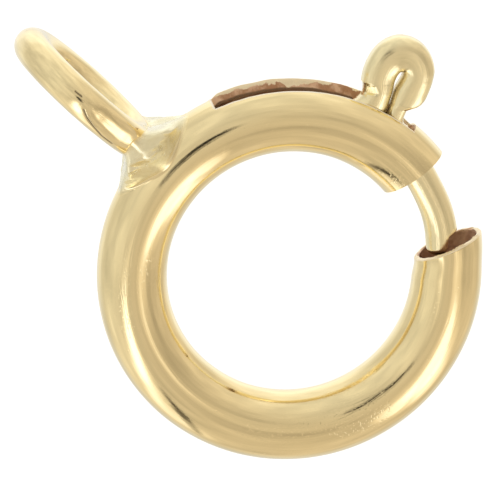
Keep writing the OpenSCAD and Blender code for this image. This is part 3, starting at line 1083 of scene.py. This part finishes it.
def rail(runs):
    """A chain of runs that share end points, each given by what places its points, and by the points."""
    lines = [run(place(points), count) for (place, points), count in zip(runs, STEPS)]
    return np.concatenate([lines[0], *[line[1:] for line in lines[1:]]])


def tail_rail(start, radius):
    """The rail of the tail: from an angle beside the trigger it follows the ring at a radius."""
    angle = np.linspace(start, TAIL_TO, TAIL_POINTS)
    return on_arc, np.stack([np.full(TAIL_POINTS, radius), angle], -1)


# %% [markdown]
# ## The bolt's two edges
# The rails are given run by run, from the nose to where the tail begins. The first three runs lie along the
# arc, the next four go out to the trigger's head, the eighth goes round its loop, and the last four come
# back. Each run names the function that places its points, and then the points.

# %% Rails
OUTER = [
    (on_arc, [(2.34, 47.4), (2.46, 47.7), (2.56, 48.4), (2.63, 50.0), (2.655, 52), (2.672, 54.2)]),
    (on_arc, [(2.672, 54.2), (2.677, 54.8), (2.680, 55.4)]),
    (on_arc, [(2.680, 55.4), (2.69, 57.8), (2.705, 62), (2.717, 67.4), (2.73, 73.5), (2.75, 78), (2.80, 92)]),
    (on_trigger, [(0.34, -0.453), (0.375, -0.36), (0.445, -0.318), (0.50, -0.313)]),
    (on_trigger, [(0.50, -0.313), (0.588, -0.318)]),
    (on_trigger, [(0.588, -0.318), (0.695, -0.466)]),
    (on_trigger, [(0.695, -0.466), (0.745, -0.508), (0.799, -0.533), (0.959, -0.556), (1.113, -0.560)]),
    (on_trigger, [(1.113, -0.560), (1.304, -0.530), (1.480, -0.430), (1.600, -0.300),
                  (1.672, -0.150), (1.693, 0.0), (1.665, 0.170), (1.576, 0.314), (1.435, 0.430),
                  (1.276, 0.497), (1.102, 0.527)]),
    (on_trigger, [(1.102, 0.527), (0.937, 0.525), (0.804, 0.502)]),
    (on_trigger, [(0.804, 0.502), (0.790, 0.475)]),
    (on_trigger, [(0.790, 0.475), (0.737, 0.452), (0.664, 0.430)]),
    (on_trigger, [(0.664, 0.430), (0.590, 0.437), (0.531, 0.474), (0.44, 0.56), (0.33, 0.72)]),
]
INNER = [
    (on_arc, [(2.34, 47.4), (2.24, 47.7), (2.18, 48.6), (2.155, 50.2), (2.155, 52), (2.165, 54.2)]),
    (on_arc, [(2.165, 54.2), (2.168, 54.8), (2.172, 55.4)]),
    (on_arc, [(2.175, 55.4), (2.197, 60.7), (2.212, 65.2), (2.226, 71), (2.25, 78), (2.33, 96)]),
    (on_trigger, [(-0.125, -0.165), (-0.06, -0.09), (0.1, -0.045), (0.35, -0.036)]),
    (on_trigger, [(0.35, -0.036), (0.588, -0.036)]),
    (on_trigger, [(0.588, -0.036), (0.62, -0.036)]),
    (on_trigger, [(0.62, -0.036), (0.80, -0.030), (0.90, -0.038), (1.00, -0.058), (1.06, -0.068)]),
    (on_trigger, [(1.06, -0.068), (1.10, -0.067), (1.123, -0.056), (1.128, -0.040), (1.112, -0.022),
                  (1.08, -0.010), (1.04, 0.000)]),
    (on_trigger, [(1.04, 0.000), (0.98, 0.004), (0.94, 0.003)]),
    (on_trigger, [(0.94, 0.003), (0.92, 0.001)]),
    (on_trigger, [(0.92, 0.001), (0.849, -0.008), (0.78, -0.014)]),
    (on_trigger, [(0.78, -0.014), (0.658, -0.020), (0.5, -0.026), (0.2, -0.012), (-0.1, 0.10),
                  (-0.22, 0.22)]),
]
print(len(OUTER), "runs on the outer edge,", len(INNER), "on the inner, and a tail")

# %% [markdown]
# ## The bolt's section
# Across each pair of rail points goes a ring of points. Where the wire is round, it is a circle. Where it was
# pressed or filed, it is flatter, cut off on one side, or notched. These numbers change from run to run, so
# they are given at the start of each and drawn out evenly between.

# %% The bolt
BOLT_SIDES = 72
# At the start of each run: the height as a share of the wire's, the power that rounds the section, which is 1
# for a round wire and less for a flat one, how far the nose's bevel leaves the outer side standing, and the
# slit's painted shade
TALL = [1, 1, 1, 1, 0.92, 0.92, 1, 1, 1, 1, 1, 1, 0.95]
FLAT = [1, 1, 1, 1, 0.6, 0.6, 0.65, 0.75, 0.75, 0.75, 0.75, 0.75, 1]
BEVEL = [0.0, 0.36, 1, 1, 1, 1, 1, 1, 1, 1, 1, 1, 1]
SLIT = [0, 0, 0, 0.7, 0.4, 0.4, 0.4, 0.3, 0.3, 0.3, 0.4, 0.4, 0.7]
# Over what length, in millimetres, the nose and the tail round off
NOSE_ROUND, TAIL_ROUND = 0.13, 0.1
# The run that is notched, the limits that the notch sets at its two ends, and the one that cuts off nothing
NOTCH_RUN, NOTCH_LIMITS, NO_LIMIT = 10, (1.12, 1.0), 2


def bolt():
    """A ring of points across each pair of rail points: half the way between them times a rounded cosine, and
    half its height times a rounded sine. The notch cuts off what 0.5 cosine + sine has past a limit."""
    outer = rail([*OUTER, tail_rail(TAIL_OUTER, RING_R + BOLT_R)])
    inner = rail([*INNER, tail_rail(TAIL_INNER, RING_R - BOLT_R)])
    middle, half_way = (outer + inner) / 2, (outer - inner) / 2
    length = np.concatenate([[0], np.cumsum(np.linalg.norm(np.diff(middle, axis=0), axis=1))])
    marks = np.cumsum([0, *STEPS[:-1]])
    station = np.arange(len(middle))
    tall, flat, bevel, slit = [np.interp(station, marks, column) for column in (TALL, FLAT, BEVEL, SLIT)]
    start, end = marks[NOTCH_RUN], marks[NOTCH_RUN + 1]
    notch = np.interp(station, [start, start + 1.5, end, end + 3], [NO_LIMIT, *NOTCH_LIMITS, NO_LIMIT])
    nose = np.clip(length / NOSE_ROUND, 0, 1)
    tail = np.clip((length[-1] - length) / TAIL_ROUND, 0, 1)
    tall = BOLT_R * tall * np.sqrt(1 - (1 - nose) ** 2) * np.sqrt(1 - (1 - tail) ** 2)
    wide = np.sqrt(1 - (1 - tail) ** 2)
    turned = np.radians(np.arange(BOLT_SIDES) * 360 / BOLT_SIDES)
    cos = np.sign(np.cos(turned)) * np.abs(np.cos(turned)) ** flat[:, None]
    sin = np.sign(np.sin(turned)) * np.abs(np.sin(turned)) ** flat[:, None]
    cos = np.minimum(cos, bevel[:, None])
    past = np.maximum(0.5 * cos + sin - notch[:, None], 0) / 1.25
    cos, sin = cos - 0.5 * past, sin - past
    rings = middle[:, None] + half_way[:, None] * (wide[:, None] * cos)[..., None]
    rings[..., 2] += tall[:, None] * sin
    rings = rings[1:-1]
    width = np.linalg.norm(half_way, axis=1)[:, None]
    bar = np.stack(np.broadcast_arrays(length[:, None], width * cos, tall[:, None] * sin), -1)[1:-1]
    points = np.concatenate([rings.reshape(-1, 3), middle[:1], middle[-1:]])
    bar = np.concatenate([bar.reshape(-1, 3), [[0, 0, 0]], [[length[-1], 0, 0]]])
    # Painted shade: the walls of the slit turn a dull tan
    grime = np.append((slit[:, None] * ramp(-cos, 0.7, 0.97))[1:-1].ravel(), [0, 0])
    return points, sleeve_faces(len(rings), BOLT_SIDES), bar, grime


bolt_points, bolt_faces, bolt_bar, bolt_grime = bolt()
piece("bolt_wire", bolt_points, bolt_faces, [THUMBED_GOLD] * 2, "sliding_bolt", "gold_wire", "bolt", bolt_bar,
      grime=bolt_grime)

# %% [markdown]
# ## The coil spring
# The spring is wound from fine steel wire. Its windings follow the ring's centre line inside the tube, so its
# spine is a helix whose own axis is an arc.

# %% The coil spring
COIL_WIRE_R, COIL_PLAY, COIL_TURNS = 0.045, 0.03, 22
COIL_R = 0.235
STEPS_A_TURN = 36


def coil():
    """The helix: at angle w round its own axis it lies RING_R + COIL_R cos w from the ring's centre and
    COIL_R sin w high, and the angle round the ring grows evenly. The section stands across the helix."""
    spare = np.degrees((COIL_PLAY + COIL_WIRE_R) / RING_R)
    share = np.linspace(0, 1, COIL_TURNS * STEPS_A_TURN + 1)
    winding = 2 * np.pi * COIL_TURNS * share
    angle = TAIL_TO + spare + share * (PLUG_AT - TAIL_TO - 2 * spare)
    spine = polar(RING_R + COIL_R * np.cos(winding), angle, COIL_R * np.sin(winding))
    out = polar(np.cos(winding), angle, np.sin(winding))
    up = np.cross(np.gradient(spine, axis=0), out)
    up /= np.linalg.norm(up, axis=1, keepdims=True)
    return wire(spine, out, up, COIL_WIRE_R, sides=12)


coil_points, coil_faces, coil_bar = coil()
spring = piece("coil_spring_wire", coil_points, coil_faces, [STEEL] * 2, None, "spring_wire", "coil_spring",
               coil_bar)
plug_end, tail_end = to_frame([polar(RING_R, PLUG_AT), polar(RING_R, TAIL_TO)])
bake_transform(spring)
